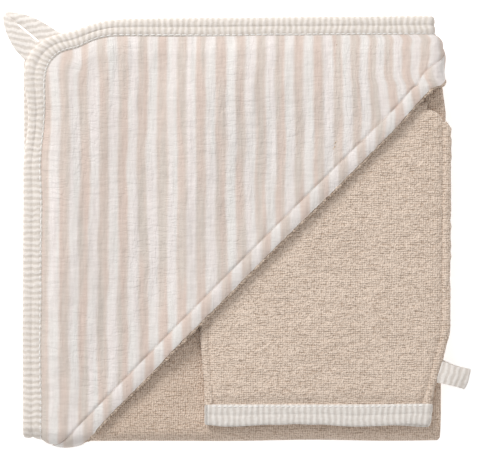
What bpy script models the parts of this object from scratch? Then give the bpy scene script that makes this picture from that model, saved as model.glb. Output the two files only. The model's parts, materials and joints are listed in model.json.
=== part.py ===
"""Hooded baby towel with its wash mitt, folded in thirds both ways into a flat packet.

Metres, +Z up. X runs across the packet and Y towards the edge with the hanging loop. The origin is
the middle of the packet's underside. The towel is pleated into three columns and then into three
thirds, so nine layers of terry lie on each other: bottom third, middle third, top third.
"""

import math

import bpy

# ---------------------------------------------------------------- driving sizes, metres
PACKET_X = 0.266
PACKET_Y = 0.264
TERRY = 0.0024
GAP = 0.0003
TAPE_W = 0.0112
TAPE_TALL = 0.0034
CORNER_R = 0.040
LEFT_RECESS = 0.020
REAR_RECESS = 0.019
UNDER_RECESS = 0.006

LINING = 0.0018
MUSLIN = 0.0009
HEM = 0.0013
HEM_W = 0.0088
HEM_OFFSET = 0.0378
HOOD_LIFT = 13.0

MITT_W = 0.1532
MITT_CUFF_W = 0.1426
MITT_LEFT = -0.0231
MITT_TOP = 0.0772
MITT_CUFF_TOP = -0.1103
MITT_PLY = 0.0020
MITT_CORNER_R = 0.018
SEAM_W = 0.0030
CUFF_H = 0.0124

LOOP_LONG = 0.0260
LOOP_WIDE = 0.0264
LOOP_THICK = 0.0016
TAB_LONG = 0.0190
TAB_WIDE = 0.01375
TAB_TURN = math.radians(-17.0)

THREAD = 0.0005

# ---------------------------------------------------------------- derived sizes
LEFT = -PACKET_X / 2
RIGHT = PACKET_X / 2
REAR = PACKET_Y / 2
FRONT = -PACKET_Y / 2
PITCH = TERRY + GAP
THIRD = 3 * PITCH
FOLD_R = THIRD - GAP / 2
REAR_AXIS_Z = THIRD - GAP / 2
FRONT_AXIS_Z = 2 * THIRD - GAP / 2
FRONT_AXIS_Y = FRONT + FOLD_R
REAR_AXIS_Y = REAR - REAR_RECESS - FOLD_R
TOWEL_TOP = 3 * THIRD - GAP
BEND_RIGHT = RIGHT - TERRY - GAP / 2
BEND_LEFT = LEFT + LEFT_RECESS + TERRY + GAP / 2
UNDER_REAR = REAR - UNDER_RECESS
EDGE_RIGHT = RIGHT - UNDER_RECESS
EDGE_LEFT = LEFT + UNDER_RECESS
EDGE_FRONT = FRONT + 0.001
BOUND = TAPE_W + GAP
MITT_RIGHT = MITT_LEFT + MITT_W
MITT_FLOOR = TOWEL_TOP + GAP
MITT_ROOF = MITT_FLOOR + 2 * MITT_PLY + GAP
HOOD_LEFT = LEFT + BOUND
HOOD_REAR = REAR - BOUND
HOOD_RIGHT = BEND_RIGHT
CORNER_X = LEFT + CORNER_R
CORNER_Y = REAR - CORNER_R
HALF_TURN = [math.radians(a) for a in range(0, 181, 20)]

COLOURS = {
    "terry": ((0.58, 0.50, 0.42, 1.0), 0.95),
    "muslin": ((0.74, 0.69, 0.64, 1.0), 0.90),
    "striped_binding": ((0.72, 0.66, 0.60, 1.0), 0.85),
    "thread": ((0.86, 0.83, 0.79, 1.0), 0.70),
}


# ---------------------------------------------------------------- helpers
def clear_scene():
    """Take every object out of the scene."""
    for obj in list(bpy.data.objects):
        bpy.data.objects.remove(obj, do_unlink=True)


def fabric(slot, name):
    """A Principled fabric of this slot's colour, named for the piece that wears it."""
    colour, rough = COLOURS[slot]
    mat = bpy.data.materials.new(slot + "_" + name)
    mat.use_nodes = True
    shader = mat.node_tree.nodes["Principled BSDF"]
    shader.inputs["Base Color"].default_value = colour
    shader.inputs["Roughness"].default_value = rough
    shader.inputs["Metallic"].default_value = 0.0
    mat.diffuse_color = colour
    return mat


def solid(name, slot, verts, faces, origin=(0.0, 0.0, 0.0), smooth=False):
    """One named object from world-space vertices, with its origin at the point given."""
    mesh = bpy.data.meshes.new(name)
    ox, oy, oz = origin
    mesh.from_pydata([(x - ox, y - oy, z - oz) for x, y, z in verts], [], faces)
    mesh.validate()
    mesh.update()
    obj = bpy.data.objects.new(name, mesh)
    obj.location = origin
    bpy.context.collection.objects.link(obj)
    mesh.materials.append(fabric(slot, name))
    if smooth:
        for poly in mesh.polygons:
            poly.use_smooth = len(poly.vertices) == 4
    return obj


def join_loops(verts, loops, closed_path=False):
    """Skin loops of equal length one after another, and cap both ends unless the path closes."""
    faces = []
    count = len(loops[0])
    start = len(verts)
    for loop in loops:
        verts.extend(loop)
    steps = len(loops) if closed_path else len(loops) - 1
    for i in range(steps):
        a = start + i * count
        b = start + ((i + 1) % len(loops)) * count
        for j in range(count):
            k = (j + 1) % count
            faces.append((a + j, a + k, b + k, b + j))
    if not closed_path:
        faces.append(tuple(start + j for j in reversed(range(count))))
        end = start + (len(loops) - 1) * count
        faces.append(tuple(end + j for j in range(count)))
    return faces


def face_outward(obj):
    """Turn every face of a closed mesh outward."""
    mesh = obj.data
    volume = 0.0
    mesh.calc_loop_triangles()
    for tri in mesh.loop_triangles:
        a, b, c = (mesh.vertices[i].co for i in tri.vertices)
        volume += a.dot(b.cross(c))
    if volume < 0:
        mesh.flip_normals()
    return obj


def loft(name, slot, loops, origin=(0.0, 0.0, 0.0), closed_path=False, smooth=False):
    """A closed solid through the loops."""
    verts = []
    faces = join_loops(verts, loops, closed_path)
    return face_outward(solid(name, slot, verts, faces, origin, smooth))


def prism(name, slot, outline, low, high, origin=(0.0, 0.0, 0.0)):
    """A plan outline stood up between two heights."""
    loops = [[(x, y, z) for x, y in outline] for z in (low, high)]
    return loft(name, slot, loops, origin)


def box(name, slot, low, high):
    """An upright box between two corners."""
    (x0, y0, z0), (x1, y1, z1) = low, high
    return prism(name, slot, [(x0, y0), (x1, y0), (x1, y1), (x0, y1)], z0, z1)


def cut(target, cutter):
    """Take the cutter's space out of the target, and keep the cutter as a hidden wire object."""
    cutter.hide_render = True
    cutter.display_type = "WIRE"
    step = target.modifiers.new("cut_" + cutter.name, "BOOLEAN")
    step.operation = "DIFFERENCE"
    step.solver = "EXACT"
    step.object = cutter


def arc(cx, cy, radius, start, end, steps):
    """Points on an arc, angles in degrees."""
    turn = [math.radians(start + (end - start) * i / steps) for i in range(steps + 1)]
    return [(cx + radius * math.cos(t), cy + radius * math.sin(t)) for t in turn]


def tape_profile(low, high, width=TAPE_W):
    """Section of a folded tape over an edge: (distance in from the edge, height)."""
    tall = high - low
    mid = width / 2
    return [
        (0.0, low + 0.35 * tall),
        (0.0, high - 0.35 * tall),
        (0.10 * width, high - 0.08 * tall),
        (0.25 * width, high),
        (mid - 0.07 * width, high - 0.03 * tall),
        (mid, high - 0.18 * tall),
        (mid + 0.07 * width, high - 0.03 * tall),
        (0.85 * width, high),
        (0.97 * width, high - 0.12 * tall),
        (width, high - 0.35 * tall),
        (width, low + 0.25 * tall),
        (0.95 * width, low),
        (0.08 * width, low),
    ]


def sweep(name, slot, path, profile, smooth=True):
    """Run a section along a plan path, with the section's first axis to the path's right."""
    loops = []
    for i, (x, y) in enumerate(path):
        before = path[max(i - 1, 0)]
        after = path[min(i + 1, len(path) - 1)]
        din = math.atan2(y - before[1], x - before[0]) if i else None
        dout = math.atan2(after[1] - y, after[0] - x) if i < len(path) - 1 else None
        din = dout if din is None else din
        dout = din if dout is None else dout
        bend = (dout - din + math.pi) % (2 * math.pi) - math.pi
        heading = din + bend / 2
        nx, ny = math.sin(heading), -math.cos(heading)
        stretch = 1 / math.cos(bend / 2)
        loops.append([(x + nx * u * stretch, y + ny * u * stretch, z) for u, z in profile])
    return loft(name, slot, loops, smooth=smooth)


# ---------------------------------------------------------------- the towel's three thirds
def pleat_path(base, flipped, left):
    """Centre line of three layers joined by a bend at each side, as (x, z) from the free left edge."""
    heights = [base + TERRY / 2 + i * PITCH for i in range(3)]
    order = heights if flipped else heights[::-1]
    sign = 1 if flipped else -1
    r = PITCH / 2
    path = [(left, order[0]), (BEND_RIGHT, order[0])]
    for t in HALF_TURN[1:-1]:
        path.append((BEND_RIGHT + r * math.sin(t), order[0] + sign * r * (1 - math.cos(t))))
    path += [(BEND_RIGHT, order[1]), (BEND_LEFT, order[1])]
    for t in HALF_TURN[1:-1]:
        path.append((BEND_LEFT - r * math.sin(t), order[1] + sign * r * (1 - math.cos(t))))
    path += [(BEND_LEFT, order[2]), (EDGE_RIGHT - BOUND, order[2])]
    return path


def pleat_outline(base, flipped, left):
    """Outline of the pleated terry in X and Z."""
    path = pleat_path(base, flipped, left)
    sides = ([], [])
    for i, (x, z) in enumerate(path):
        x0, z0 = path[max(i - 1, 0)]
        x1, z1 = path[min(i + 1, len(path) - 1)]
        length = math.hypot(x1 - x0, z1 - z0)
        nx, nz = -(z1 - z0) / length, (x1 - x0) / length
        level = i in (0, len(path) - 1) or abs(z1 - z) < 1e-9 or abs(z - z0) < 1e-9
        if level:
            nx, nz = 0.0, math.copysign(1.0, nz)
        for side, way in zip(sides, (1, -1)):
            side.append((x + way * nx * TERRY / 2, z + way * nz * TERRY / 2))
    return sides[0] + sides[1][::-1]


def third(name, base, flipped, left, front, rear):
    """Three pleated layers of terry from front to rear."""
    outline = pleat_outline(base, flipped, left)
    return loft(name, "terry", [[(x, y, z) for x, z in outline] for y in (front, rear)])


def towel():
    """The three thirds and the bends that join them."""
    front = FRONT_AXIS_Y + GAP / 2
    rear = REAR_AXIS_Y - GAP / 2
    bottom = third("towel_bottom_third", 0.0, False, EDGE_LEFT + BOUND, EDGE_FRONT + BOUND, rear)
    middle = third("towel_middle_third", THIRD, True, EDGE_LEFT + BOUND, front, rear)
    top = third("towel_top_third", 2 * THIRD, False, HOOD_LEFT, front, HOOD_REAR)

    inner_r = CORNER_R - BOUND
    outline = arc(CORNER_X, CORNER_Y, inner_r, 180, 90, 12)
    outline += [(CORNER_X, REAR + 0.01), (LEFT - 0.01, REAR + 0.01), (LEFT - 0.01, CORNER_Y)]
    split = TOWEL_TOP - TERRY - GAP / 2
    cut(top, prism("corner_cutter", "terry", outline, split, TOWEL_TOP + 0.01))
    low = (LEFT - 0.01, UNDER_REAR - BOUND, 2 * THIRD - GAP / 2)
    cut(top, box("rear_cutter", "terry", low, (BEND_RIGHT - GAP, REAR + 0.01, split)))

    for name, y, z, way in (
        ("towel_front_fold", FRONT_AXIS_Y - GAP / 2, FRONT_AXIS_Z, -1),
        ("towel_rear_fold", REAR_AXIS_Y + GAP / 2, REAR_AXIS_Z, 1),
    ):
        left = LEFT + 0.0005 if way < 0 else EDGE_LEFT
        half = [(y + way * (FOLD_R - GAP / 2) * math.sin(t), z + FOLD_R * math.cos(t)) for t in HALF_TURN]
        loops = [[(x, py, pz) for py, pz in half] for x in (left, RIGHT)]
        loft(name, "terry", loops, origin=(0.0, y, z), smooth=True)
    return bottom, middle, top


def layer(third_index, layer_index):
    """Bottom and top height of one terry layer, counted from below."""
    low = third_index * THIRD + layer_index * PITCH
    return low, low + TERRY


def bindings():
    """Striped tape over the towel's free edges."""
    high = TOWEL_TOP - TERRY + TAPE_TALL
    path = [(LEFT, FRONT_AXIS_Y + GAP / 2), (LEFT, (FRONT + REAR) / 2)]
    path += arc(CORNER_X, CORNER_Y, CORNER_R, 180, 90, 14)
    path += [(0.03, REAR), (BEND_RIGHT, REAR)]
    profile = tape_profile(TOWEL_TOP - TERRY, high)
    sweep("binding_hood_corner", "striped_binding", path, profile)

    inset = 0.0022
    stitch = [(TAPE_W - inset, high + 0.0001), (TAPE_W - inset + THREAD, high + 0.0001)]
    stitch += [(TAPE_W - inset + THREAD, high + 0.0001 + THREAD), (TAPE_W - inset, high + 0.0001 + THREAD)]
    sweep("binding_topstitch", "thread", path, stitch, smooth=False)

    rear = REAR_AXIS_Y - GAP / 2
    front = FRONT_AXIS_Y + GAP / 2
    low, high = layer(2, 0)
    path = [(BEND_LEFT, UNDER_REAR), (EDGE_RIGHT, UNDER_REAR), (EDGE_RIGHT, front)]
    sweep("binding_top_right", "striped_binding", path, tape_profile(low, high))
    low, high = layer(2, 1)
    path = [(BEND_LEFT, UNDER_REAR), (BEND_RIGHT - 2 * GAP, UNDER_REAR)]
    sweep("binding_rear_middle", "striped_binding", path, tape_profile(low, high))
    low, high = layer(1, 2)
    path = [(EDGE_RIGHT, rear), (EDGE_RIGHT, front)]
    sweep("binding_middle_right", "striped_binding", path, tape_profile(low, high))
    low, high = layer(1, 0)
    path = [(EDGE_LEFT, front), (EDGE_LEFT, rear)]
    sweep("binding_middle_left", "striped_binding", path, tape_profile(low, high))
    low, high = layer(0, 2)
    path = [(BEND_RIGHT, EDGE_FRONT), (EDGE_LEFT, EDGE_FRONT), (EDGE_LEFT, rear)]
    sweep("binding_front_left", "striped_binding", path, tape_profile(low, high))
    low, high = layer(0, 1)
    path = [(BEND_RIGHT, EDGE_FRONT), (BEND_LEFT, EDGE_FRONT)]
    sweep("binding_front_middle", "striped_binding", path, tape_profile(low, high))
    low, high = layer(0, 0)
    path = [(EDGE_RIGHT, rear), (EDGE_RIGHT, EDGE_FRONT), (BEND_LEFT, EDGE_FRONT)]
    sweep("binding_front_right", "striped_binding", path, tape_profile(low, high))


# ---------------------------------------------------------------- the hood
def support(x, y):
    """Height of what lies under the hood: the top layer, or the mitt with an easy slope round it."""
    dx = max(MITT_LEFT - x, x - MITT_RIGHT, 0.0)
    dy = max(y - MITT_TOP, 0.0)
    t = min(max((math.hypot(dx, dy) - 0.010) / 0.016, 0.0), 1.0)
    ease = 1 - t * t * (3 - 2 * t)
    return TOWEL_TOP + (MITT_ROOF - TOWEL_TOP) * ease


def row_ends(c):
    """Where the line x - y = c meets the hood's left and rear sides."""
    inner = CORNER_R - BOUND
    k = (c - CORNER_X + CORNER_Y) / inner / math.sqrt(2)
    if c < HOOD_LEFT - CORNER_Y:
        turn = math.acos(max(k, -1.0))
        ends = []
        for t in (-math.pi / 4 - turn, -math.pi / 4 + turn):
            ends.append((CORNER_X + inner * math.cos(t), CORNER_Y + inner * math.sin(t)))
        return ends
    front = FRONT_AXIS_Y + GAP / 2
    left = (HOOD_LEFT, HOOD_LEFT - c) if HOOD_LEFT - c > front else (c + front, front)
    right = (c + HOOD_REAR, HOOD_REAR) if c + HOOD_REAR < HOOD_RIGHT else (HOOD_RIGHT, HOOD_RIGHT - c)
    return [left, right]


def draped(name, slot, lines, lift, thick, columns=26):
    """A sheet over the support, across the given lines parallel to the hem."""
    top = []
    rows = len(lines) - 1
    for c in lines:
        (x0, y0), (x1, y1) = row_ends(c)
        for j in range(columns + 1):
            x = x0 + (x1 - x0) * j / columns
            y = y0 + (y1 - y0) * j / columns
            top.append((x, y, support(x, y) + lift + thick))
    under = [(x, y, z - thick) for x, y, z in top]
    count = len(top)
    wide = columns + 1
    faces = []
    for i in range(rows):
        for j in range(columns):
            a = i * wide + j
            for tri in ((a, a + 1, a + wide + 1), (a, a + wide + 1, a + wide)):
                faces.append(tri)
                faces.append(tuple(count + v for v in reversed(tri)))
    rim = [j for j in range(wide)]
    rim += [i * wide + columns for i in range(1, rows + 1)]
    rim += [rows * wide + j for j in reversed(range(columns))]
    rim += [i * wide for i in reversed(range(1, rows))]
    for n, a in enumerate(rim):
        b = rim[(n + 1) % len(rim)]
        faces.append((b, a, count + a, count + b))
    sheet = face_outward(solid(name, slot, top + under, faces))
    for poly in sheet.data.polygons:
        poly.use_smooth = len(poly.vertices) == 3
    return sheet


def hood():
    """Lining, shell, hem band and its topstitching."""
    tip = CORNER_X - CORNER_Y - (CORNER_R - BOUND) * math.sqrt(2)
    start = tip + 0.002
    hem = HEM_OFFSET - HEM_W * math.sqrt(2)
    stitch = [hem + 0.003, hem + 0.003 + THREAD]
    shell = [start + (hem - GAP - start) * i / 26 for i in range(27)]
    rim = [hem] + stitch + [HEM_OFFSET]
    above = 2 * GAP + LINING
    draped("hood_lining", "terry", shell + rim + [HEM_OFFSET + 0.0008], GAP, LINING)
    draped("hood_shell", "muslin", shell, above, MUSLIN)
    draped("hood_rim", "muslin", rim, above, HEM)
    draped("hood_topstitch", "thread", stitch, above + HEM + 0.0001, THREAD)


# ---------------------------------------------------------------- the wash mitt
def mitt_outline(inset):
    """The mitt's plan from the cuff's left end, round the top, to the cuff's right end."""
    r = MITT_CORNER_R - inset
    left = MITT_LEFT + inset
    right = MITT_RIGHT - inset
    cuff_mid = (MITT_LEFT + MITT_RIGHT) / 2 - 0.002
    low_left = cuff_mid - MITT_CUFF_W / 2 + inset
    low_right = cuff_mid + MITT_CUFF_W / 2 - inset
    path = [(low_left, MITT_CUFF_TOP + GAP), (left, MITT_CUFF_TOP + 0.05)]
    path += arc(left + r, MITT_TOP - inset - r, r, 180, 90, 8)
    path += arc(right - r, MITT_TOP - inset - r, r, 90, 0, 8)
    path += [(right, MITT_CUFF_TOP + 0.05), (low_right, MITT_CUFF_TOP + GAP)]
    return path


def stadium(x0, x1, z0, z1, y, steps=6):
    """A flat ring section with round ends, standing in X and Z."""
    r = (z1 - z0) / 2
    mid = (z0 + z1) / 2
    ring = arc(x0 + r, mid, r, 270, 90, steps) + arc(x1 - r, mid, r, 90, -90, steps)
    return [(x, y, z) for x, z in ring]


def seam_x(y):
    """Right side of the mitt at a given Y."""
    (x0, y0), (x1, y1) = mitt_outline(0.0)[-2:]
    t = min(max((y - y0) / (y1 - y0), 0.0), 1.0)
    return x0 + (x1 - x0) * t


def mitt():
    """Two panels, the seam that joins them, the bound cuff, its stitching and the loop."""
    plan = mitt_outline(SEAM_W + GAP)
    low = MITT_FLOOR
    prism("mitt_back_panel", "terry", plan, low, low + MITT_PLY)
    prism("mitt_front_panel", "terry", plan, low + MITT_PLY + GAP, MITT_ROOF)
    seam = [(0.0, low + 0.0012), (0.0, MITT_ROOF - 0.0012), (0.0009, MITT_ROOF - 0.0003)]
    seam += [(SEAM_W, MITT_ROOF - 0.0003), (SEAM_W, low + 0.0003), (0.0009, low + 0.0003)]
    sweep("mitt_side_seam", "terry", mitt_outline(0.0), seam)

    mid = (MITT_LEFT + MITT_RIGHT) / 2 - 0.002
    x0, x1 = mid - MITT_CUFF_W / 2, mid + MITT_CUFF_W / 2
    centre = low + MITT_PLY + GAP / 2
    far, near = MITT_CUFF_TOP - CUFF_H, MITT_CUFF_TOP
    outer = [stadium(x0, x1, low, MITT_ROOF + 0.0003, y) for y in (far, near)]
    inner = [stadium(x0 + 0.004, x1 - 0.004, centre - 0.0004, centre + 0.0004, y) for y in (near, far)]
    loft("mitt_cuff_binding", "striped_binding", outer + inner, closed_path=True, smooth=True)

    stitch_z = MITT_ROOF + 0.0004
    low_corner = (x0 + 0.003, near - 0.0016, stitch_z)
    box("mitt_cuff_stitch", "thread", low_corner, (x1 - 0.003, near - 0.0016 + THREAD, stitch_z + THREAD))

    pivot_y = -0.0897
    pivot = (seam_x(pivot_y) + 0.0014, pivot_y, centre + LOOP_THICK / 2)
    ply = LOOP_THICK * 0.42
    outline = [(0.0, -LOOP_THICK), (TAB_LONG, -LOOP_THICK)]
    r = LOOP_THICK / 2
    outline += [(TAB_LONG + r * math.sin(t), -r - r * math.cos(t)) for t in HALF_TURN[1:-1]]
    outline += [(TAB_LONG, 0.0), (0.0, 0.0), (0.0, -ply), (TAB_LONG - ply, -ply)]
    outline += [(TAB_LONG - ply, -LOOP_THICK + ply), (0.0, -LOOP_THICK + ply)]
    along = (math.cos(TAB_TURN), math.sin(TAB_TURN))
    loops = []
    for v in (-TAB_WIDE / 2, TAB_WIDE / 2):
        loop = []
        for u, w in outline:
            x = pivot[0] + along[0] * u - along[1] * v
            y = pivot[1] + along[1] * u + along[0] * v
            loop.append((x, y, pivot[2] + w))
        loops.append(loop)
    loft("mitt_loop", "striped_binding", loops, origin=pivot)


# ---------------------------------------------------------------- the hanging loop
def hanging_loop():
    """A folded leaf of tape outside the hood's rounded corner, with a slit between its two arms."""
    reach = CORNER_R + GAP
    root = (CORNER_X - reach * math.sqrt(0.5), CORNER_Y + reach * math.sqrt(0.5))
    top = TOWEL_TOP - 0.0006
    steps = 9
    half = []
    slit = []
    for i in range(steps + 1):
        u = i / steps
        wide = LOOP_WIDE / 2 * (1 - u ** 1.7) + 0.0018
        half.append((u * LOOP_LONG, wide))
        slit.append((0.0025 + u * (LOOP_LONG - 0.010), 0.0004 + 0.0012 * math.sin(math.pi * u)))
    loops = []
    for side, low, high in ((half, True, False), (slit, False, True)):
        ring = [(u, -v) for u, v in side] + [(u, v) for u, v in reversed(side)]
        for level in (top - LOOP_THICK, top) if low else (top, top - LOOP_THICK):
            s = math.sqrt(0.5)
            loops.append([(root[0] - s * u + s * v, root[1] + s * u + s * v, level) for u, v in ring])
    loft("hanging_loop", "striped_binding", loops, origin=(root[0], root[1], top), closed_path=True)


clear_scene()
towel()
bindings()
hood()
mitt()
hanging_loop()
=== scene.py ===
"""Hooded baby towel folded into a flat packet, with its wash mitt tucked under the hood.

The towel is worked out flat: s runs across the cloth from its left edge, t runs down it from the edge
with the hood, and h is the height above the cloth's middle. fold() then pleats it in thirds both ways.
"""

import json
import math

import bpy
import numpy as np
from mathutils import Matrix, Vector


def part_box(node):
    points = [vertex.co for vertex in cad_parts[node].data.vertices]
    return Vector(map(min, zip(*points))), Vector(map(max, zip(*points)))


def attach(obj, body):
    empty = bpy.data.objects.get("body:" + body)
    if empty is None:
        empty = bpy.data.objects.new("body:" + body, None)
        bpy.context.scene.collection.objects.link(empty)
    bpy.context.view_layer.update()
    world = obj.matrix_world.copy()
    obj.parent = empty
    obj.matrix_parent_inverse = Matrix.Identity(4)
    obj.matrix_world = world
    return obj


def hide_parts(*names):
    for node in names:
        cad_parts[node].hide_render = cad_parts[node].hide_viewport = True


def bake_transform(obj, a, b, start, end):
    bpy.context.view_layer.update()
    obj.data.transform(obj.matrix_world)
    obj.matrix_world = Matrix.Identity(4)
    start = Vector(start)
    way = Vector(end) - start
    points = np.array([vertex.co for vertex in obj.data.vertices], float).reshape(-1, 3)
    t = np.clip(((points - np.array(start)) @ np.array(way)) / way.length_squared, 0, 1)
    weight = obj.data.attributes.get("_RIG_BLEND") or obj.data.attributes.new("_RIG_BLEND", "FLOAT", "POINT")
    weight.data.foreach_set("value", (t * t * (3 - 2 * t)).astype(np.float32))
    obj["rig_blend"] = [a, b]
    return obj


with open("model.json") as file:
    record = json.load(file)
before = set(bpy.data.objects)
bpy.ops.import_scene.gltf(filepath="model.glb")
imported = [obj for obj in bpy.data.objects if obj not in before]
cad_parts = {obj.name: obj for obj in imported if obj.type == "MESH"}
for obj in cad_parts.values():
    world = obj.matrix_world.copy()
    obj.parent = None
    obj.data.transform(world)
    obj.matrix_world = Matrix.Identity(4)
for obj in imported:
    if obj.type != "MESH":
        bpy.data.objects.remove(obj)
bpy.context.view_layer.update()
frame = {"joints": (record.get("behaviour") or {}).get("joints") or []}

MM = 0.001
TAU = 2 * math.pi

# ------ the packet's sizes
hood_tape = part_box("binding_hood_corner")
towel_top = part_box("towel_top_third")
front_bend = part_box("towel_front_fold")
LEFT = hood_tape[0][0]
REAR = hood_tape[1][1]
TERRY = 2.4 * MM
GAP = 0.3 * MM
PITCH = TERRY + GAP
THIRD = 3 * PITCH
TOP = towel_top[1][2]
FRONT_Y = -124.05 * MM
REAR_Y = 105.05 * MM
FRONT_Z = 2 * THIRD - GAP / 2
REAR_Z = THIRD - GAP / 2
BEND_R = PITCH / 2
BEND_RIGHT = front_bend[1][0] - TERRY - GAP / 2
BEND_LEFT = -110.45 * MM
EDGE_RIGHT = 127 * MM
EDGE_FRONT = -131 * MM
CORNER_R = 40 * MM
TAPE_W = 11.2 * MM

RUN_A = BEND_RIGHT - LEFT
RUN_B = BEND_RIGHT - BEND_LEFT
RUN_C = EDGE_RIGHT - BEND_LEFT
TURN = math.pi * BEND_R
WIDE = RUN_A + RUN_B + RUN_C + 2 * TURN
DROP_1 = REAR - FRONT_Y
BEND_T = 12.7 * MM
DROP_2 = REAR_Y - FRONT_Y
DROP_3 = REAR_Y - EDGE_FRONT
T_FRONT = DROP_1 + BEND_T
T_MIDDLE = T_FRONT + DROP_2 / 2
T_REAR = T_FRONT + DROP_2
LONG = T_REAR + BEND_T + DROP_3

HEM = 302.8 * MM
HEM_BAND = 12.4 * MM

mitt_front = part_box("mitt_front_panel")
mitt_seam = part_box("mitt_side_seam")
mitt_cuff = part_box("mitt_cuff_binding")
MITT_LEFT, MITT_RIGHT = mitt_seam[0][0], mitt_seam[1][0]
MITT_TOP = mitt_seam[1][1] + 1.6 * MM
CUFF_TOP = mitt_cuff[1][1]
CUFF_LOW = mitt_cuff[0][1]
MITT_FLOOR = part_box("mitt_back_panel")[0][2]
MITT_ROOF = mitt_front[1][2]

# ------ camera and light
CAMERA_H = 2.2
CAMERA_SHIFT = 2.19 * MM
VIEW_WIDE = 300.6 * MM
SENSOR = 36
bpy.ops.object.select_all(action="DESELECT")
bpy.ops.object.camera_add(location=(CAMERA_SHIFT, CAMERA_SHIFT, CAMERA_H + TOP), rotation=(0, 0, 0))
camera = bpy.context.object
camera.data.sensor_width = SENSOR
camera.data.lens = SENSOR * CAMERA_H / VIEW_WIDE
camera.data.clip_end = 20
bpy.context.scene.camera = camera


def lamp(name, place, size, power):
    """A square soft light turned towards the packet."""
    bpy.ops.object.light_add(type="AREA", location=place)
    light = bpy.context.object
    light.name = name
    x, y, z = place
    light.rotation_euler = (math.atan2(math.hypot(x, y), z), 0, math.atan2(-y, -x) - math.pi / 2)
    light.data.size = size
    light.data.energy = power


lamp("window_light", (-0.95, 1.35, 1.05), 0.7, 27)
lamp("overhead_light", (0.1, -0.1, 2.0), 1.6, 6)

world = bpy.data.worlds.new("studio")
bpy.context.scene.world = world
world.use_nodes = True
sky = world.node_tree.nodes["Background"].inputs
sky["Color"].default_value = (1, 1, 1, 1)
sky["Strength"].default_value = 0.50
bpy.context.scene.view_settings.view_transform = "Standard"


# ------ shader maths
class Sock:
    """A node socket that can be used in sums."""

    def __init__(self, paint, out):
        self.paint, self.out = paint, out

    def maths(self, kind, *others):
        return self.paint.node("ShaderNodeMath", {"operation": kind}, [self, *others])

    def __add__(self, other):
        return self.maths("ADD", other)

    __radd__ = __add__

    def __mul__(self, other):
        return self.maths("MULTIPLY", other)

    __rmul__ = __mul__

    def __sub__(self, other):
        return self.maths("SUBTRACT", other)

    def __rsub__(self, other):
        return self.paint.node("ShaderNodeMath", {"operation": "SUBTRACT"}, [other, self])

    def power(self, other):
        return self.maths("POWER", other)

    def sine(self):
        return self.maths("SINE")

    def step(self, low, high):
        """0 below low, 1 above high, smooth between."""
        settings = {"interpolation_type": "SMOOTHSTEP"}
        return self.paint.node("ShaderNodeMapRange", settings, [self, low, high, 0.0, 1.0])


class Paint:
    """A fabric material being put together."""

    def __init__(self, name, rough=0.9, sheen=0.0):
        self.mat = bpy.data.materials.new(name)
        self.mat.use_nodes = True
        self.tree = self.mat.node_tree
        self.shader = self.tree.nodes["Principled BSDF"]
        self.shader.inputs["Roughness"].default_value = rough
        self.shader.inputs["Sheen Weight"].default_value = sheen
        self.shader.inputs["Sheen Roughness"].default_value = 0.5
        self.shader.inputs["Specular IOR Level"].default_value = 0.15

    def node(self, kind, settings=None, values=(), out=0):
        """Any node: its settings first, then its sockets' values or links, by place or by name."""
        made = self.tree.nodes.new(kind)
        for key, value in (settings or {}).items():
            setattr(made, key, value)
        pairs = values.items() if isinstance(values, dict) else enumerate(values)
        for key, value in pairs:
            if isinstance(value, Sock):
                self.tree.links.new(value.out, made.inputs[key])
            else:
                made.inputs[key].default_value = value
        return Sock(self, made.outputs[out])

    def place(self, output="Object"):
        return self.node("ShaderNodeTexCoord", out=output)

    def split(self, vector):
        parts = self.node("ShaderNodeSeparateXYZ", values=[vector])
        return [Sock(self, parts.out.node.outputs[i]) for i in range(3)]

    def vector(self, x, y, z):
        return self.node("ShaderNodeCombineXYZ", values=[x, y, z])

    def stretched(self, vector, scale):
        return self.node("ShaderNodeMapping", values={"Vector": vector, "Scale": (*scale, 1.0)})

    def noise(self, vector, scale, detail=2.0, rough=0.5):
        values = {"Vector": vector, "Scale": scale, "Detail": detail, "Roughness": rough}
        return self.node("ShaderNodeTexNoise", values=values)

    def grain(self, vector, stretch, scale, detail, rough):
        """Noise drawn out in two directions."""
        return self.noise(self.stretched(vector, stretch), scale, detail, rough)

    def cells(self, vector, scale, spread):
        values = {"Vector": vector, "Scale": scale, "Randomness": spread}
        return self.node("ShaderNodeTexVoronoi", {"feature": "F1"}, values)

    def mix(self, share, first, second, how="MIX"):
        """Two colours mixed."""
        node = self.node("ShaderNodeMix", {"data_type": "RGBA", "blend_type": how}).out.node
        for key, value in ((0, share), (6, first), (7, second)):
            if isinstance(value, Sock):
                self.tree.links.new(value.out, node.inputs[key])
            elif key and len(value) == 3:
                node.inputs[key].default_value = (*value, 1.0)
            else:
                node.inputs[key].default_value = value
        return Sock(self, node.outputs[2])

    def finish(self, colour, height, deep, strength):
        """The colour and the bump, which is deep metres from its lowest to its highest."""
        self.tree.links.new(colour.out, self.shader.inputs["Base Color"])
        values = {"Strength": strength, "Distance": deep, "Height": height}
        bump = self.node("ShaderNodeBump", values=values)
        self.tree.links.new(bump.out, self.shader.inputs["Normal"])
        return self.mat


LOOP_PITCH = 1.35 * MM
MUSLIN_STRIPE = 12.25 * MM
TAPE_STRIPE = 3.7 * MM
THREAD_TWIST = 0.7 * MM


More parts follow.
